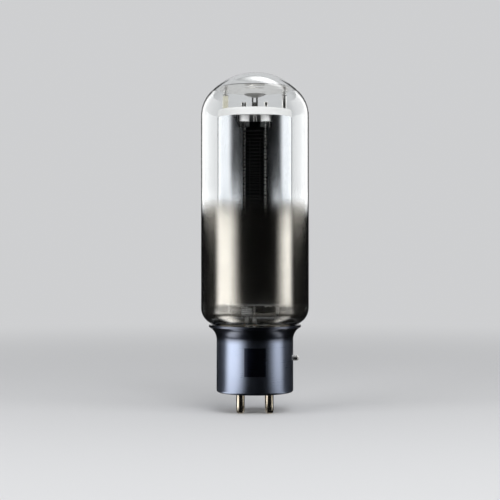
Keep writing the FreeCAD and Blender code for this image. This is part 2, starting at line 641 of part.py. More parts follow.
# A short wire tag under the outer edge of each front bushing.
nodes.append(group("bushing_tags", [
    cylinder(f"bushing_tag_{count}", f"{x} * (rod_across + tag_offset)", "-rod_front",
             "ceiling_level - bushing_height - tag_length", "tag_length", "tag_radius")
    for count, x in enumerate((-1, 1), start=1)]))

# The grid ring rests on the lower bushings and holds the four rods at their distance.
grid_ring = new_body("grid_ring")
turn(grid_ring, [
    ("rod_circle - ring_half_width", "bushing_top"),
    ("rod_circle + ring_half_width", "bushing_top"),
    ("rod_circle + ring_half_width", "ring_top"),
    ("rod_circle - ring_half_width", "ring_top"),
])
drill(grid_ring, [(x, y, "rod_radius") for x, y in RODS])
nodes.append(grid_ring)
nodes.append(sheet_strap("grid_strap", "support_right - 2 * support_radius", "rod_circle + ring_half_width",
                         "ring_top", "support_right"))

# The grid winding: fine wire wound round the outside of the four rods.
grid_helix = doc.addObject("Part::Helix", "grid_helix")
grid_helix.Style = 1
WINDING_RADIUS = "(rod_circle + rod_radius + winding_wire_radius)"
bind(grid_helix, {"Pitch": "winding_pitch", "Height": "winding_length", "Radius": WINDING_RADIUS,
                  "Placement.Base.z": "floor_level + winding_start"})
grid_section = doc.addObject("Part::Circle", "grid_section")
grid_section.Placement = FreeCAD.Placement(Vector(), FreeCAD.Rotation(Vector(1, 0, 0), 90))
bind(grid_section, {"Radius": "winding_wire_radius", "Placement.Base.x": WINDING_RADIUS,
                    "Placement.Base.z": "floor_level + winding_start"})
grid_winding = doc.addObject("Part::Sweep", "grid_winding")
grid_winding.Label = "grid_winding"
grid_winding.Sections = [grid_section]
grid_winding.Spine = (grid_helix, ["Edge1"])
grid_winding.Solid = True
grid_winding.Frenet = True
nodes.append(grid_winding)

# The filament: one wire in four strands that ends on the two filament posts.
OUT, IN = FILAMENT_OUT, "bend_radius"
POST_TOP = "floor_level + filament_post_top"
filament = new_body("filament")
pipe(filament, "XZ_Plane", [
    (f"-{OUT}", POST_TOP),
    (f"-{OUT}", "upper_bend_level"),
    (f"-{IN}", "upper_bend_level", "bend_radius", "right"),
    (f"-{IN}", "lower_bend_level"),
    (IN, "lower_bend_level", "bend_radius", "left"),
    (IN, "upper_bend_level"),
    (OUT, "upper_bend_level", "bend_radius", "right"),
    (OUT, POST_TOP),
], "filament_radius", f"-{OUT}", POST_TOP)
nodes.append(filament)

# Wire hooks: two hang the upper bends from the top plate, one holds the lower bend down.
for side, across in HOOK_SIDES:
    hook = new_body(f"filament_hook_{side}", across)
    pipe(hook, "YZ_Plane", [
        ("hook_radius", "top_level + hook_top"),
        ("hook_radius", "upper_bend_level + hook_reach"),
        ("-hook_radius", "upper_bend_level + hook_reach", "hook_radius", "right"),
        ("-hook_radius", "upper_bend_level + hook_reach + hook_tip"),
    ], "hook_wire_radius", "0", "top_level + hook_top", "hook_radius")
    nodes.append(hook)
filament_anchor = new_body("filament_anchor")
pipe(filament_anchor, "YZ_Plane", [
    ("hook_radius", "plate_bottom"),
    ("hook_radius", "lower_bend_level - hook_reach"),
    ("-hook_radius", "lower_bend_level - hook_reach", "hook_radius", "left"),
    ("-hook_radius", "lower_bend_level - hook_reach - hook_tip"),
], "hook_wire_radius", "0", "plate_bottom", "hook_radius")
nodes.append(filament_anchor)
nodes.append(group("hook_nuts", [
    tube(f"hook_nut_{side}", across, "hook_radius", "top_level", "nut_height", "hook_wire_radius + nut_wall",
         "hook_wire_radius") for side, across in HOOK_SIDES]))

# Pins on the top plate: a pair over the front left rod and a headed pin over each other rod.
PIN_TOP = "top_level + top_pin_height"
twins = []
for count, (x, y) in enumerate(TWIN, start=1):
    twin_pin = new_body(f"twin_pin_{count}", x, y)
    turn(twin_pin, [
        ("0", "ceiling_level"),
        ("twin_pin_radius", "ceiling_level"),
        ("twin_pin_radius", f"{PIN_TOP} - top_pin_round"),
        ("twin_pin_radius - top_pin_round", PIN_TOP, "top_pin_round", "left"),
        ("0", PIN_TOP),
    ])
    twins.append(twin_pin)
nodes.append(group("twin_pins", twins))
headed = []
for count, (x, y) in enumerate(HEADED, start=1):
    head_pin = new_body(f"head_pin_{count}", x, y)
    turn(head_pin, [
        ("0", "ceiling_level"),
        ("head_pin_radius", "ceiling_level"),
        ("head_pin_radius", f"{PIN_TOP} - head_height"),
        ("head_radius", f"{PIN_TOP} - head_height"),
        ("head_radius", f"{PIN_TOP} - top_pin_round"),
        ("head_radius - top_pin_round", PIN_TOP, "top_pin_round", "left"),
        ("0", PIN_TOP),
    ])
    headed.append(head_pin)
nodes.append(group("head_pins", headed))

# The stud under the front of the top plate.
centre_stud = new_body("centre_stud", "0", "-stud_front")
turn(centre_stud, [
    ("0", "ceiling_level - stud_length"),
    ("stud_radius", "ceiling_level - stud_length"),
    ("stud_radius", "ceiling_level"),
    ("stud_shank_radius", "ceiling_level"),
    ("stud_shank_radius", "top_level"),
    ("0", "top_level"),
])
nodes.append(centre_stud)

# Two posts stand on the top plate, each with a sleeve or tube and a small spring under the mica disc.
caps = []
for side, across, cover_radius, spring_radius in POST_SIDES:
    post = new_body(f"{side}_post", across)
    turn(post, [
        ("0", "ceiling_level - post_foot_height"),
        ("post_foot_radius", "ceiling_level - post_foot_height"),
        ("post_foot_radius", "ceiling_level"),
        ("post_radius", "ceiling_level"),
        ("post_radius", "mica_level + mica_thickness + cap_height + post_tip"),
        ("0", "mica_level + mica_thickness + cap_height + post_tip"),
    ])
    nodes.append(post)
    cover = "left_sleeve" if side == "left" else "right_tube"
    nodes.append(tube(cover, across, "0", "top_level", "sleeve_length", cover_radius, "post_radius"))
    spring = new_body(f"{side}_spring", across)
    coil(spring, "spring_wire_radius", spring_radius, "sleeve_top", "spring_pitch",
         "(spring_length - 2 * spring_wire_radius) / spring_pitch")
    nodes.append(spring)
    caps.append(tube(f"{side}_cap", across, "0", "mica_level + mica_thickness", "cap_height", "cap_radius",
                     "post_radius"))
top_mica = new_body("top_mica")
turn(top_mica, [
    ("0", "mica_level"),
    ("mica_radius", "mica_level"),
    ("mica_radius", "mica_level + mica_thickness"),
    ("0", "mica_level + mica_thickness"),
])
drill(top_mica, [(side[1], "0", "post_radius") for side in POST_SIDES])
nodes.append(top_mica)
nodes.append(group("post_caps", caps))

# The getter: a block with two prongs on the centre of the plate, and a shallow dish on the prongs.
fork_parts = [box("fork_block", ("-fork_half_width", "-fork_half_depth", "top_level"),
                  ("2 * fork_half_width", "2 * fork_half_depth", "fork_height"))]
for side, corner in (("left", "-fork_half_width"), ("right", "fork_half_width - prong_width")):
    fork_parts.append(box(f"fork_prong_{side}", (corner, "-prong_width / 2", "fork_top"),
                          ("prong_width", "prong_width", "prong_height")))
getter_fork = doc.addObject("Part::MultiFuse", "getter_fork")
getter_fork.Label = "getter_fork"
getter_fork.Shapes = fork_parts
nodes.append(getter_fork)
getter_dish = new_body("getter_dish")
turn(getter_dish, [
    ("0", "dish_bottom"),
    ("dish_radius", "dish_bottom + dish_depth", "dish_sphere", "left"),
    ("dish_radius - dish_wall", "dish_bottom + dish_depth"),
    ("0", "dish_bottom + dish_wall", "((dish_radius - dish_wall) ^ 2 + (dish_depth - dish_wall) ^ 2)"
     " / (2 * (dish_depth - dish_wall))", "right"),
])
nodes.append(getter_dish)

doc.recompute()
for item in doc.Objects:
    if "Invalid" in item.State or "Error" in item.State:
        raise RuntimeError(f"{item.Name} is {item.State}")
for node in nodes:
    if node.Shape.isNull() or not node.Shape.isValid():
        raise RuntimeError(f"{node.Label} has no valid shape")
for node in nodes:
    node.Shape.exportStep(f"parts/{node.Label}.step")
print(len(nodes), "nodes")
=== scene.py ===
import math

import bmesh
import bpy
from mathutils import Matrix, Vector


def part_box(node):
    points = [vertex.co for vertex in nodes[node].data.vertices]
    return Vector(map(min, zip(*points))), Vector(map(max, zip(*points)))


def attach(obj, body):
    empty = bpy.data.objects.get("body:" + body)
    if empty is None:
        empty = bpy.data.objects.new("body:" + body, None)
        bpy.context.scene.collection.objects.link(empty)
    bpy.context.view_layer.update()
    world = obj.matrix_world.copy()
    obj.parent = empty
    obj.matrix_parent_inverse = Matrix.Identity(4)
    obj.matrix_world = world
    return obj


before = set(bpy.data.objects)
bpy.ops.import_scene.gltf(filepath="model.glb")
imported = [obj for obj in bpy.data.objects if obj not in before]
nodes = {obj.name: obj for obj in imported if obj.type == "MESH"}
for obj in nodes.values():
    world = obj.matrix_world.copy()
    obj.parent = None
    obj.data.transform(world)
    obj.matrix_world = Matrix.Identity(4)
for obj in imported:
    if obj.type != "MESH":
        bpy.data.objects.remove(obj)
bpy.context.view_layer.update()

MM = 0.001


# The camera stands level in front of the tube, a little to the left of its axis, with its eye about
# halfway up the glass. It is a long lens at the distance of the photo.
CAMERA_DISTANCE = 0.712
CAMERA_HEIGHT = 0.0928
CAMERA_SHIFT_LEFT = 0.0028
LENS = 89.3
camera_data = bpy.data.cameras.new("camera")
camera_data.lens = LENS
camera_data.sensor_width = 36
camera_data.clip_start = 0.01
camera = bpy.data.objects.new("camera", camera_data)
camera.location = (-CAMERA_SHIFT_LEFT, -CAMERA_DISTANCE, CAMERA_HEIGHT)
camera.rotation_euler = (math.radians(90), 0, 0)
bpy.context.scene.collection.objects.link(camera)
bpy.context.scene.camera = camera
bpy.context.scene.view_settings.view_transform = "Standard"


# The studio: a pale floor that fades into a pale surround, two tall soft lamps beside the tube and
# one above it.
SURROUND = (0.62, 0.625, 0.635, 1)
SURROUND_LIGHT = 0.6


def new_material(name):
    """An empty material with its output node."""
    material = bpy.data.materials.new(name)
    material.use_nodes = True
    material.node_tree.nodes.clear()
    output = material.node_tree.nodes.new("ShaderNodeOutputMaterial")
    return material, material.node_tree, output


def join(tree, source, target):
    """Link an output socket to an input socket."""
    tree.links.new(source, target)


def math_node(tree, operation, first, second=None, third=None):
    """A Math node whose inputs are sockets or numbers."""
    node = tree.nodes.new("ShaderNodeMath")
    node.operation = operation
    for slot, value in enumerate((first, second, third)):
        if isinstance(value, bpy.types.NodeSocket):
            join(tree, value, node.inputs[slot])
        elif value is not None:
            node.inputs[slot].default_value = value
    return node.outputs[0]


def map_range(tree, value, low, high, to_low=0.0, to_high=1.0, smooth=True):
    """A number carried from one range to another, clamped."""
    node = tree.nodes.new("ShaderNodeMapRange")
    node.interpolation_type = "SMOOTHSTEP" if smooth else "LINEAR"
    join(tree, value, node.inputs["Value"])
    for name, number in (("From Min", low), ("From Max", high), ("To Min", to_low), ("To Max", to_high)):
        node.inputs[name].default_value = number
    return node.outputs["Result"]


def object_point(tree):
    """The Object coordinates and their three separate numbers, in metres."""
    place = tree.nodes.new("ShaderNodeTexCoord")
    parts = tree.nodes.new("ShaderNodeSeparateXYZ")
    join(tree, place.outputs["Object"], parts.inputs[0])
    return place.outputs["Object"], parts.outputs[0], parts.outputs[1], parts.outputs[2]


world = bpy.data.worlds.new("surround")
bpy.context.scene.world = world
world.use_nodes = True
world_tree = world.node_tree
world_tree.nodes.clear()
world_output = world_tree.nodes.new("ShaderNodeOutputWorld")
seen = world_tree.nodes.new("ShaderNodeBackground")
seen.inputs["Color"].default_value = SURROUND
seen.inputs["Strength"].default_value = 1
lighting = world_tree.nodes.new("ShaderNodeBackground")
lighting.inputs["Color"].default_value = SURROUND
lighting.inputs["Strength"].default_value = SURROUND_LIGHT
ray = world_tree.nodes.new("ShaderNodeLightPath")
shown = math_node(world_tree, "MAXIMUM", ray.outputs["Is Camera Ray"], ray.outputs["Is Transmission Ray"])
shown = math_node(world_tree, "MAXIMUM", shown, ray.outputs["Is Glossy Ray"])
world_mix = world_tree.nodes.new("ShaderNodeMixShader")
join(world_tree, shown, world_mix.inputs[0])
join(world_tree, lighting.outputs[0], world_mix.inputs[1])
join(world_tree, seen.outputs[0], world_mix.inputs[2])
join(world_tree, world_mix.outputs[0], world_output.inputs[0])

bpy.ops.object.select_all(action="DESELECT")
bpy.ops.mesh.primitive_circle_add(vertices=96, radius=6, fill_type="NGON", location=(0, 0, 0))
floor = bpy.context.object
floor.name = "floor"
FLOOR_COLOUR = (0.76, 0.765, 0.775, 1)
floor_material, tree, output = new_material("floor")
paint = tree.nodes.new("ShaderNodeBsdfDiffuse")
paint.inputs["Color"].default_value = FLOOR_COLOUR
far = tree.nodes.new("ShaderNodeEmission")
far.inputs["Color"].default_value = SURROUND
far.inputs["Strength"].default_value = 1
point, x, y, z = object_point(tree)
distance = math_node(tree, "SQRT", math_node(tree, "ADD", math_node(tree, "MULTIPLY", x, x),
                                             math_node(tree, "MULTIPLY", y, y)))
fade = map_range(tree, distance, 0.12, 0.9)
mix = tree.nodes.new("ShaderNodeMixShader")
ray = tree.nodes.new("ShaderNodeLightPath")
shown = math_node(tree, "MAXIMUM", ray.outputs["Is Camera Ray"], ray.outputs["Is Transmission Ray"])
shown = math_node(tree, "MAXIMUM", shown, ray.outputs["Is Glossy Ray"])
join(tree, math_node(tree, "MULTIPLY", fade, shown), mix.inputs[0])
join(tree, paint.outputs[0], mix.inputs[1])
join(tree, far.outputs[0], mix.inputs[2])
join(tree, mix.outputs[0], output.inputs[0])
floor.data.materials.append(floor_material)


def soft_lamp(name, azimuth, distance, height, width, tall, power):
    """A rectangular lamp that faces the tube; azimuth 0 is at the camera, 90 to the right."""
    lamp_data = bpy.data.lights.new(name, "AREA")
    lamp_data.shape = "RECTANGLE"
    lamp_data.size = width
    lamp_data.size_y = tall
    lamp_data.energy = power
    lamp = bpy.data.objects.new(name, lamp_data)
    angle = math.radians(azimuth)
    lamp.location = (distance * math.sin(angle), -distance * math.cos(angle), height)
    aim = Vector((0, 0, 0.1)) - lamp.location
    lamp.rotation_euler = aim.to_track_quat("-Z", "Y").to_euler()
    lamp.visible_camera = False
    lamp.visible_glossy = False
    lamp.visible_transmission = False
    bpy.context.scene.collection.objects.link(lamp)


soft_lamp("lamp_left", -55, 0.9, 0.2, 0.7, 0.9, 6.5)
soft_lamp("lamp_right", 55, 0.9, 0.2, 0.7, 0.9, 5.5)
soft_lamp("lamp_above", 15, 0.9, 0.9, 0.6, 0.6, 5)


def reflected_only(tree):
    """1 on a ray that has bounced off metal or glass and off nothing matt, and 0 on all others."""
    path = tree.nodes.new("ShaderNodeLightPath")
    mirrored = math_node(tree, "GREATER_THAN", path.outputs["Glossy Depth"], 0.5)
    sharp = math_node(tree, "LESS_THAN", path.outputs["Diffuse Depth"], 0.5)
    return math_node(tree, "MULTIPLY", mirrored, sharp)


def studio_surface(name, azimuths, levels, radii, material):
    """A band of mesh round the tube, or flat on the floor, that belongs to the studio."""
    steps = 48
    mesh = bpy.data.meshes.new(name)
    corners = []
    for step in range(steps + 1):
        angle = math.radians(azimuths[0] + (azimuths[1] - azimuths[0]) * step / steps)
        for radius, level in zip(radii, levels):
            corners.append((radius * math.sin(angle), -radius * math.cos(angle), level))
    faces = [(2 * step, 2 * step + 1, 2 * step + 3, 2 * step + 2) for step in range(steps)]
    mesh.from_pydata(corners, [], faces)
    mesh.materials.append(material)
    band = bpy.data.objects.new(name, mesh)
    band.visible_camera = False
    band.visible_diffuse = False
    band.visible_shadow = False
    bpy.context.scene.collection.objects.link(band)


def window(tree, value, opening, closing, strength=1.0):
    """A strength that rises over one span of a number and falls to 0 over a later one."""
    rise = map_range(tree, value, *opening, 0, strength)
    fall = map_range(tree, value, *closing, 1, 0)
    return math_node(tree, "MULTIPLY", rise, fall)


# Metal and glass show a dark wall round the tube with a tall soft panel on each side. Low down the
# panels stand beside the tube, and higher up they reach round behind it. Their light on the table
# shows as well, with a dark ring round the tube where nothing falls.
WALL_RADIUS, WALL_HEIGHT = 1.1, 0.85
LOW_STRENGTH, HIGH_STRENGTH = 2.6, 1.95
wall_material, tree, output = new_material("studio_wall")
wall_material.cycles.emission_sampling = "NONE"
point, x, y, z = object_point(tree)
turn_angle = math_node(tree, "ARCTAN2", math_node(tree, "ABSOLUTE", x), math_node(tree, "MULTIPLY", y, -1.0))
azimuth = math_node(tree, "MULTIPLY", turn_angle, math.degrees(1))
reach = math_node(tree, "SQRT", math_node(tree, "ADD", math_node(tree, "MULTIPLY", x, x),
                                          math_node(tree, "MULTIPLY", y, y)))
on_table = window(tree, reach, (0.1, 0.2), (0.75, 1.05))
near_tube = map_range(tree, reach, 0.09, 0.12, 7, 0)
inner_edge = math_node(tree, "SUBTRACT", math_node(tree, "MULTIPLY_ADD", on_table, 9.0, azimuth), near_tube)
outer_edge = math_node(tree, "MULTIPLY_ADD", on_table, -4.0, azimuth)
left_panel = math_node(tree, "MULTIPLY", map_range(tree, inner_edge, 28, 62, 0, LOW_STRENGTH),
                       map_range(tree, outer_edge, 76, 97, 1, 0))
right_panel = math_node(tree, "MULTIPLY", map_range(tree, inner_edge, 42, 74, 0, LOW_STRENGTH),
                        map_range(tree, outer_edge, 76, 91, 1, 0))
right_panel = math_node(tree, "MULTIPLY", right_panel, map_range(tree, z, 0.002, 0.03, 0.5, 0.92))
is_right = math_node(tree, "GREATER_THAN", x, 0.0)
is_left = math_node(tree, "SUBTRACT", 1.0, is_right)
low_panel = math_node(tree, "ADD", math_node(tree, "MULTIPLY", left_panel, is_left),
                      math_node(tree, "MULTIPLY", right_panel, is_right))
higher_edge = math_node(tree, "MULTIPLY_ADD", is_right, -8.0, azimuth)
high_panel = math_node(tree, "MULTIPLY", map_range(tree, higher_edge, 67, 92, 0, HIGH_STRENGTH),
                       map_range(tree, azimuth, 142, 160, 1, 0))
level = map_range(tree, z, 0.137, 0.175)
low_part = math_node(tree, "MULTIPLY", low_panel, math_node(tree, "SUBTRACT", 1.0, level))
glow = math_node(tree, "ADD", low_part, math_node(tree, "MULTIPLY", high_panel, level))
middle_gain = math_node(tree, "ADD", window(tree, z, (0.128, 0.15), (0.166, 0.186), 0.35), 1.0)
glow = math_node(tree, "MULTIPLY", glow, middle_gain)
near_ring = window(tree, reach, (0.026, 0.04), (0.084, 0.1), 0.9)
far_field = map_range(tree, reach, 0.118, 0.16, 0.1, 1)
glow = math_node(tree, "MULTIPLY", glow, math_node(tree, "MAXIMUM", near_ring, far_field))
glow = math_node(tree, "ADD", glow, 0.006)
panel = tree.nodes.new("ShaderNodeEmission")
join(tree, glow, panel.inputs["Strength"])
unseen = tree.nodes.new("ShaderNodeBsdfTransparent")
mix = tree.nodes.new("ShaderNodeMixShader")
join(tree, reflected_only(tree), mix.inputs[0])
join(tree, unseen.outputs[0], mix.inputs[1])
join(tree, panel.outputs[0], mix.inputs[2])
join(tree, mix.outputs[0], output.inputs[0])
studio_surface("studio_wall", (-166, 166), (0.001, WALL_HEIGHT), (WALL_RADIUS, WALL_RADIUS), wall_material)
studio_surface("studio_wall_foot", (-166, 166), (0.0006, 0.0006), (0.012, WALL_RADIUS), wall_material)

crown_material, tree, output = new_material("crown_panel")
crown_material.cycles.emission_sampling = "NONE"
CROWN_STRENGTH = 5.2
point, x, y, z = object_point(tree)
sideways = math_node(tree, "DIVIDE", x, y)
reach = math_node(tree, "SQRT", math_node(tree, "ADD", math_node(tree, "MULTIPLY", x, x),
                                          math_node(tree, "MULTIPLY", y, y)))
crown_glow = math_node(tree, "MULTIPLY", window(tree, sideways, (-0.5, 0.3), (0.6, 1.6), CROWN_STRENGTH),
                       window(tree, reach, (0.2, 0.42), (0.5, 0.78)))
crown_light = tree.nodes.new("ShaderNodeEmission")
join(tree, crown_glow, crown_light.inputs["Strength"])
unseen = tree.nodes.new("ShaderNodeBsdfTransparent")
mix = tree.nodes.new("ShaderNodeMixShader")
above_dark = math_node(tree, "MULTIPLY", reflected_only(tree), math_node(tree, "GREATER_THAN", crown_glow, 0.02))
join(tree, above_dark, mix.inputs[0])
join(tree, unseen.outputs[0], mix.inputs[1])
join(tree, crown_light.outputs[0], mix.inputs[2])
join(tree, mix.outputs[0], output.inputs[0])
studio_surface("crown_panel", (120, 208), (1.0, 1.0), (0.18, 0.8), crown_material)


# Every piece below is a CAD node with its own finish, or a new piece that the CAD model leaves to the
# looks. A finish is a material made of nodes and given to the node's slots.
def finish_node(names, material):
    """Give a material to every slot of each CAD node in a list."""
    for name in names:
        node = nodes[name]
        node.data.materials.clear()
        node.data.materials.append(material)


def surface(name, colour, roughness, metallic=0.0):
    """A Principled material with plain values; patterns are linked over them afterwards."""
    material, tree, output = new_material(name)
    shader = tree.nodes.new("ShaderNodeBsdfPrincipled")
    shader.inputs["Base Color"].default_value = (*colour, 1)
    shader.inputs["Roughness"].default_value = roughness
    shader.inputs["Metallic"].default_value = metallic
    join(tree, shader.outputs[0], output.inputs[0])
    return material, tree, shader


def noise(tree, vector, scale, detail=3.0, stretch=(1, 1, 1)):
    """Noise over a vector that is first stretched along its axes."""
    mapping = tree.nodes.new("ShaderNodeMapping")
    mapping.inputs["Scale"].default_value = stretch
    texture = tree.nodes.new("ShaderNodeTexNoise")
    texture.inputs["Scale"].default_value = scale
    texture.inputs["Detail"].default_value = detail
    join(tree, vector, mapping.inputs["Vector"])
    join(tree, mapping.outputs[0], texture.inputs["Vector"])
    return texture.outputs["Fac"]


def bump(tree, shader, height, distance, strength=1.0):
    """Raise the surface by a pattern, distance in metres."""
    node = tree.nodes.new("ShaderNodeBump")
    node.inputs["Strength"].default_value = strength
    node.inputs["Distance"].default_value = distance
    join(tree, height, node.inputs["Height"])
    join(tree, node.outputs[0], shader.inputs["Normal"])


def colour_ramp(tree, factor, stops):
    """Colours along a factor, given as (place, colour)."""
    ramp = tree.nodes.new("ShaderNodeValToRGB")
    while len(ramp.color_ramp.elements) < len(stops):
        ramp.color_ramp.elements.new(0.5)
    for element, (place, colour) in zip(ramp.color_ramp.elements, stops):
        element.position = place
        element.color = (*colour, 1)
    join(tree, factor, ramp.inputs[0])
    return ramp.outputs[0]


# The base shell is turned from aluminium and anodised a pale blue grey. Fine rings from the tool show in the gloss,
# and a plain dark field is printed on its front. Its cove at the top is darkened with painted shade.
anodised, tree, shader = surface("anodised_aluminium", (0.3, 0.33, 0.45), 0.3, 1.0)
point, x, y, z = object_point(tree)
rings = noise(tree, point, 1, 2, (8, 8, 5000))
cloud = noise(tree, point, 90, 3)
join(tree, map_range(tree, math_node(tree, "ADD", rings, cloud), 0.6, 1.4, 0.27, 0.31), shader.inputs["Roughness"])
shader.inputs["Coat Weight"].default_value = 1
shader.inputs["Coat Roughness"].default_value = 0.2
shader.inputs["Coat IOR"].default_value = 1.6
bump(tree, shader, rings, 0.0000003)
FIELD_HALF_WIDTH, FIELD_LOW, FIELD_HIGH = 0.006, 0.022, 0.038
# Heights over which the painted shade on the cove fades in.
SHADED_COVE_LOW, SHADED_COVE_HIGH = 0.0395, 0.0435
across = map_range(tree, math_node(tree, "ABSOLUTE", x), FIELD_HALF_WIDTH - 0.0001, FIELD_HALF_WIDTH + 0.0001, 1, 0)
above = map_range(tree, z, FIELD_LOW - 0.0001, FIELD_LOW + 0.0001)
below = map_range(tree, z, FIELD_HIGH - 0.0001, FIELD_HIGH + 0.0001, 1, 0)
in_front = math_node(tree, "LESS_THAN", y, 0.0)
field = math_node(tree, "MULTIPLY", math_node(tree, "MULTIPLY", across, above),
                  math_node(tree, "MULTIPLY", below, in_front))
tint = colour_ramp(tree, cloud, [(0.3, (0.25, 0.295, 0.4)), (0.7, (0.28, 0.325, 0.435))])
field_mix = tree.nodes.new("ShaderNodeMix")
field_mix.data_type = "RGBA"
join(tree, field, field_mix.inputs["Factor"])
join(tree, tint, field_mix.inputs["A"])
field_mix.inputs["B"].default_value = (0.02, 0.03, 0.07, 1)
# Painted shade: above the cove's lower edge the base colour turns dark blue grey, standing in for the shade the
# downturned flare sits in.
cove_shade_mix = tree.nodes.new("ShaderNodeMix")
cove_shade_mix.data_type = "RGBA"
join(tree, map_range(tree, z, SHADED_COVE_LOW, SHADED_COVE_HIGH), cove_shade_mix.inputs["Factor"])
join(tree, field_mix.outputs["Result"], cove_shade_mix.inputs["A"])
cove_shade_mix.inputs["B"].default_value = (0.06, 0.07, 0.1, 1)
join(tree, cove_shade_mix.outputs["Result"], shader.inputs["Base Color"])
finish_node(["base_shell"], anodised)


# The contact pins and their flanges are brass with a pale polished plating; fine draw lines run
# along them and the tips are a little duller where they were soldered.
plated, tree, shader = surface("pale_plating", (0.78, 0.69, 0.54), 0.12, 1.0)
point, x, y, z = object_point(tree)
draw = noise(tree, point, 1, 3, (4000, 4000, 60))
join(tree, map_range(tree, draw, 0.3, 0.7, 0.1, 0.2), shader.inputs["Roughness"])
join(tree, colour_ramp(tree, map_range(tree, z, 0.0, 0.004), [(0.0, (0.7, 0.63, 0.52)), (1.0, (0.8, 0.71, 0.56))]),
     shader.inputs["Base Color"])
bump(tree, shader, draw, 0.000003)
finish_node([f"contact_pin_{count}" for count in range(1, 5)], plated)


# The disc under the base is a dark moulded phenolic, faintly mottled.
phenolic, tree, shader = surface("phenolic", (0.02, 0.02, 0.022), 0.4)
point, x, y, z = object_point(tree)
mottle = noise(tree, point, 400, 4)
join(tree, colour_ramp(tree, mottle, [(0.35, (0.014, 0.014, 0.016)), (0.7, (0.035, 0.034, 0.034))]),
     shader.inputs["Base Color"])
bump(tree, shader, mottle, 0.00002)
finish_node(["base_disc"], phenolic)


# Small bright metal parts: the bayonet pin, the pins on the top plate, the stud, the right tube and
# the getter fork, all polished nickel plate.
bright, tree, shader = surface("bright_nickel", (0.78, 0.77, 0.75), 0.2, 1.0)
point, x, y, z = object_point(tree)
polish = noise(tree, point, 1200, 3)
join(tree, map_range(tree, polish, 0.3, 0.7, 0.18, 0.28), shader.inputs["Roughness"])
bump(tree, shader, polish, 0.000004)
finish_node(["bayonet_pin", "twin_pins", "head_pins", "centre_stud", "bushing_tags", "right_tube",
             "getter_fork"], bright)


# Rods, straps, posts and rings are plain nickel, satin from being cleaned and fired.
nickel, tree, shader = surface("satin_nickel", (0.6, 0.59, 0.57), 0.3, 1.0)
point, x, y, z = object_point(tree)
fired = noise(tree, point, 700, 4)
join(tree, map_range(tree, fired, 0.3, 0.7, 0.24, 0.4), shader.inputs["Roughness"])
join(tree, colour_ramp(tree, fired, [(0.3, (0.56, 0.55, 0.53)), (0.7, (0.66, 0.65, 0.63))]),
     shader.inputs["Base Color"])
bump(tree, shader, fired, 0.000006)
nickel_names = [name for name in nodes if name.startswith(("support_post", "filament_lead", "filament_strap",
                                                           "filament_post", "grid_rod"))]
finish_node(nickel_names + ["anode_strap", "grid_ring", "grid_strap", "hook_nuts", "left_post", "right_post",
                            "post_caps"], nickel)


# Springs and hooks are hard drawn steel wire.
wire, tree, shader = surface("spring_wire", (0.8, 0.8, 0.79), 0.22, 1.0)
point, x, y, z = object_point(tree)
drawn = noise(tree, point, 1800, 2)
join(tree, map_range(tree, drawn, 0.3, 0.7, 0.15, 0.3), shader.inputs["Roughness"])
bump(tree, shader, drawn, 0.000003)
finish_node(["left_spring", "right_spring", "filament_hook_left", "filament_hook_right", "filament_anchor"], wire)


# The coil on the left filament lead and the ferrules on the stem get a nearly white matt colour with little metal, a
# painted highlight standing in for the bright glints of their wire, so they stay pale from all sides.
pale_glint_wire, tree, shader = surface("pale_glint_finish", (0.96, 0.96, 0.95), 0.25, 0.1)
point, x, y, z = object_point(tree)
coil_grain = noise(tree, point, 1500, 3)
join(tree, map_range(tree, coil_grain, 0.3, 0.7, 0.2, 0.32), shader.inputs["Roughness"])
bump(tree, shader, coil_grain, 0.000004)
finish_node(["tension_spring", "lead_ferrules"], pale_glint_wire)


# The grid wire and the filament are dark: the one is coated, the other carburised.
dark_wire, tree, shader = surface("dark_wire", (0.014, 0.014, 0.015), 0.6, 0.0)
point, x, y, z = object_point(tree)
grain = noise(tree, point, 2500, 3)
join(tree, map_range(tree, grain, 0.3, 0.7, 0.4, 0.6), shader.inputs["Roughness"])
bump(tree, shader, grain, 0.000005)
finish_node(["grid_winding", "filament"], dark_wire)


# Lead wires in the base are coppered where they pass the glass.
coppered, tree, shader = surface("coppered_wire", (0.66, 0.36, 0.22), 0.3, 1.0)
point, x, y, z = object_point(tree)
oxide = noise(tree, point, 500, 4)
join(tree, colour_ramp(tree, oxide, [(0.35, (0.45, 0.2, 0.12)), (0.65, (0.68, 0.38, 0.24))]),
     shader.inputs["Base Color"])
bump(tree, shader, oxide, 0.000004)
finish_node([f"lead_wire_{count}" for count in range(1, 5)], coppered)


# The cement is a coarse buff filler.
cement, tree, shader = surface("cement", (0.5, 0.44, 0.35), 0.85)
point, x, y, z = object_point(tree)
sand = noise(tree, point, 900, 5)
join(tree, colour_ramp(tree, sand, [(0.3, (0.38, 0.33, 0.26)), (0.7, (0.58, 0.52, 0.42))]),
     shader.inputs["Base Color"])
bump(tree, shader, sand, 0.00008)
finish_node(["basing_cement"], cement)


# Both plates and all bushings are fired white ceramic, matt with a fine grain.
ceramic, tree, shader = surface("white_ceramic", (0.88, 0.88, 0.87), 0.5)
point, x, y, z = object_point(tree)
grain = noise(tree, point, 900, 5)
join(tree, colour_ramp(tree, grain, [(0.3, (0.85, 0.85, 0.84)), (0.7, (0.9, 0.9, 0.89))]),
     shader.inputs["Base Color"])
bump(tree, shader, grain, 0.00003)
finish_node(["top_plate", "bottom_plate", "upper_bushings", "lower_bushings"], ceramic)


# The left sleeve is a thinner glazed tube, slightly yellow and half clear.
glazed, tree, shader = surface("glazed_sleeve", (0.6, 0.58, 0.48), 0.15)
point, x, y, z = object_point(tree)
glaze = noise(tree, point, 600, 3)
join(tree, colour_ramp(tree, glaze, [(0.3, (0.52, 0.5, 0.4)), (0.7, (0.64, 0.62, 0.52))]),
     shader.inputs["Base Color"])
shader.inputs["Coat Weight"].default_value = 0.6
shader.inputs["Subsurface Weight"].default_value = 0.2
shader.inputs["Subsurface Radius"].default_value = (0.001, 0.001, 0.0008)
bump(tree, shader, glaze, 0.00001)
finish_node(["left_sleeve"], glazed)


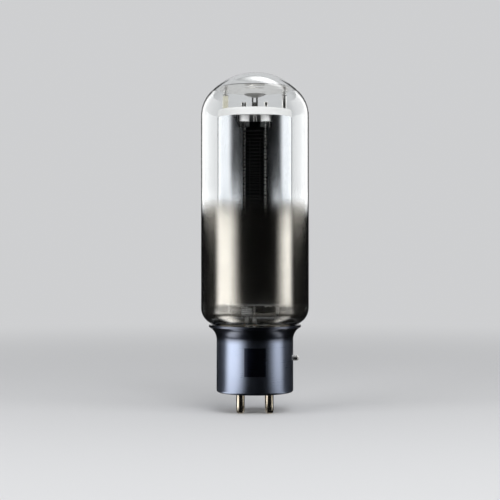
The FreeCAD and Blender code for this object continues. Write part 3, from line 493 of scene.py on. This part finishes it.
# The anode is nickel sheet, satin outside and blackened with carbon inside.
ANODE_SKIN = 0.0209
LIP_REACH = 0.0078
anode_sheet, tree, shader = surface("anode_sheet", (0.55, 0.56, 0.58), 0.18, 1.0)
point, x, y, z = object_point(tree)
radius = math_node(tree, "SQRT", math_node(tree, "ADD", math_node(tree, "MULTIPLY", x, x),
                                           math_node(tree, "MULTIPLY", y, y)))
outside = math_node(tree, "GREATER_THAN", radius, ANODE_SKIN)
lip = math_node(tree, "MULTIPLY", math_node(tree, "LESS_THAN", math_node(tree, "ABSOLUTE", x), LIP_REACH),
                math_node(tree, "LESS_THAN", y, 0.0))
metal = math_node(tree, "MAXIMUM", outside, lip)
brushed = noise(tree, point, 1, 4, (2600, 2600, 25))
clouds = noise(tree, point, 60, 3)
tone = colour_ramp(tree, clouds, [(0.3, (0.5, 0.515, 0.54)), (0.7, (0.54, 0.555, 0.58))])
anode_mix = tree.nodes.new("ShaderNodeMix")
anode_mix.data_type = "RGBA"
join(tree, metal, anode_mix.inputs["Factor"])
anode_mix.inputs["A"].default_value = (0.006, 0.006, 0.006, 1)
join(tree, tone, anode_mix.inputs["B"])
join(tree, anode_mix.outputs["Result"], shader.inputs["Base Color"])
join(tree, metal, shader.inputs["Metallic"])
satin = map_range(tree, math_node(tree, "ADD", brushed, clouds), 0.6, 1.4, 0.11, 0.17)
dull = math_node(tree, "SUBTRACT", 1.0, metal)
join(tree, math_node(tree, "MAXIMUM", satin, math_node(tree, "MULTIPLY", dull, 0.9)), shader.inputs["Roughness"])
bump(tree, shader, brushed, 0.0000012)
finish_node(["anode"], anode_sheet)


# The mica disc is cut from clear sheet, a little brown, split in thin layers.
mica, tree, shader = surface("clear_mica", (0.985, 0.96, 0.92), 0.02)
point, x, y, z = object_point(tree)
layers = noise(tree, point, 140, 3)
join(tree, map_range(tree, layers, 0.35, 0.65, 0.0, 0.05), shader.inputs["Roughness"])
shader.inputs["Transmission Weight"].default_value = 1
shader.inputs["IOR"].default_value = 1.58
bump(tree, shader, layers, 0.000006)
finish_node(["top_mica"], mica)
nodes["top_mica"].visible_shadow = False


# The getter dish is pressed from thin sheet, dull where it was heated.
getter, tree, shader = surface("getter_sheet", (0.42, 0.42, 0.42), 0.32, 1.0)
point, x, y, z = object_point(tree)
heat = noise(tree, point, 500, 4)
join(tree, colour_ramp(tree, heat, [(0.3, (0.3, 0.29, 0.28)), (0.7, (0.5, 0.5, 0.5))]), shader.inputs["Base Color"])
bump(tree, shader, heat, 0.00001)
finish_node(["getter_dish"], getter)


# The bulb and the stem are clear glass. Lamps shine through them on what they hold.
def clear_glass(name, colour, ripple):
    """Clear glass with a faint ripple from blowing."""
    material, tree, shader = surface(name, colour, 0.0)
    point, x, y, z = object_point(tree)
    shader.inputs["Transmission Weight"].default_value = 1
    shader.inputs["IOR"].default_value = 1.47
    shader.inputs["Specular Tint"].default_value = (0.55, 0.55, 0.55, 1)
    bump(tree, shader, noise(tree, point, 28, 2, (1, 1, 0.35)), ripple)
    return material


bulb_glass = clear_glass("bulb_glass", (0.97, 0.98, 0.98), 0.00004)
finish_node(["glass_bulb"], bulb_glass)
nodes["glass_bulb"].visible_shadow = False
stem_glass = clear_glass("stem_glass", (0.94, 0.97, 0.95), 0.00008)
finish_node(["glass_stem"], stem_glass)
nodes["glass_stem"].visible_shadow = False


# The lower half of the bulb carries a smoky mirror on the inside, a metal film that fades out at its
# upper edge. Low on the front it is thin, with a denser rim at the fold, so the coil shows through. It
# is a sheet a hair inside the glass wall.
FILM_GAP = 0.00006
FILM_THICKNESS = 0.00003
FILM_LOW, FILM_HIGH = 0.0512, 0.124
WALL = 0.0012
bulb_low, bulb_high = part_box("glass_bulb")
film_radius = bulb_high.x - WALL - FILM_GAP
SHOULDER_TOP = 0.060
SHOULDER_RADIUS = 0.0105 - WALL - FILM_GAP
film_centre = film_radius - SHOULDER_RADIUS
low_angle = math.asin((SHOULDER_TOP - FILM_LOW) / SHOULDER_RADIUS)
bpy.ops.object.select_all(action="DESELECT")
bpy.ops.mesh.primitive_circle_add(vertices=128, radius=film_centre + SHOULDER_RADIUS * math.cos(low_angle),
                                  location=(0, 0, FILM_LOW))
film = bpy.context.object
film.name = "mirror_film"
bpy.ops.object.mode_set(mode="EDIT")
bpy.ops.mesh.select_all(action="SELECT")
RING_STEPS = 8
reach = film_centre + SHOULDER_RADIUS * math.cos(low_angle)
level = FILM_LOW
for step in range(1, RING_STEPS + 1):
    angle = low_angle * (1 - step / RING_STEPS)
    next_reach = film_centre + SHOULDER_RADIUS * math.cos(angle)
    next_level = SHOULDER_TOP - SHOULDER_RADIUS * math.sin(angle)
    bpy.ops.mesh.extrude_edges_move(TRANSFORM_OT_translate={"value": (0, 0, next_level - level)})
    share = next_reach / reach
    bpy.ops.transform.resize(value=(share, share, 1), center_override=(0, 0, 0))
    reach = next_reach
    level = next_level
WALL_STEPS = 16
for step in range(WALL_STEPS):
    bpy.ops.mesh.extrude_edges_move(TRANSFORM_OT_translate={"value": (0, 0, (FILM_HIGH - SHOULDER_TOP) / WALL_STEPS)})
bpy.ops.mesh.select_all(action="SELECT")
bpy.ops.mesh.normals_make_consistent(inside=False)
bpy.ops.object.mode_set(mode="OBJECT")
bpy.ops.object.transform_apply(location=True, rotation=True, scale=True)
bpy.ops.object.shade_smooth()
film_wall = film.modifiers.new("thickness", "SOLIDIFY")
film_wall.thickness = FILM_THICKNESS
film_wall.offset = -1
bpy.ops.object.modifier_apply(modifier=film_wall.name)

film_material, tree, shader = surface("smoky_mirror", (0.46, 0.43, 0.39), 0.16, 1.0)
point, x, y, z = object_point(tree)
drift = noise(tree, point, 55, 4)
wander = math_node(tree, "MULTIPLY", math_node(tree, "SUBTRACT", drift, 0.5), 0.003)
edge = math_node(tree, "ADD", z, wander)
upper = map_range(tree, edge, 0.108, 0.1235, 1, 0)
rim = map_range(tree, edge, 0.0516, 0.0525, 0, 0.58)
above_rim = map_range(tree, edge, 0.0568, 0.058, 0, 0.4)
body = map_range(tree, edge, 0.0607, 0.0637, 0, 0.82)
front_foot = math_node(tree, "ADD", math_node(tree, "SUBTRACT", rim, above_rim), body)
back_foot = map_range(tree, edge, 0.0516, 0.0525)
is_back = map_range(tree, y, -0.006, 0.006)
front_share = math_node(tree, "MULTIPLY", front_foot, math_node(tree, "SUBTRACT", 1.0, is_back))
lower = math_node(tree, "ADD", front_share, math_node(tree, "MULTIPLY", back_foot, is_back))
cover = math_node(tree, "MULTIPLY", math_node(tree, "MULTIPLY", upper, lower), 0.9)
join(tree, cover, shader.inputs["Alpha"])
join(tree, colour_ramp(tree, drift, [(0.3, (0.43, 0.4, 0.355)), (0.7, (0.49, 0.46, 0.41))]),
     shader.inputs["Base Color"])
film.data.materials.append(film_material)
film.visible_shadow = False
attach(film, "root")
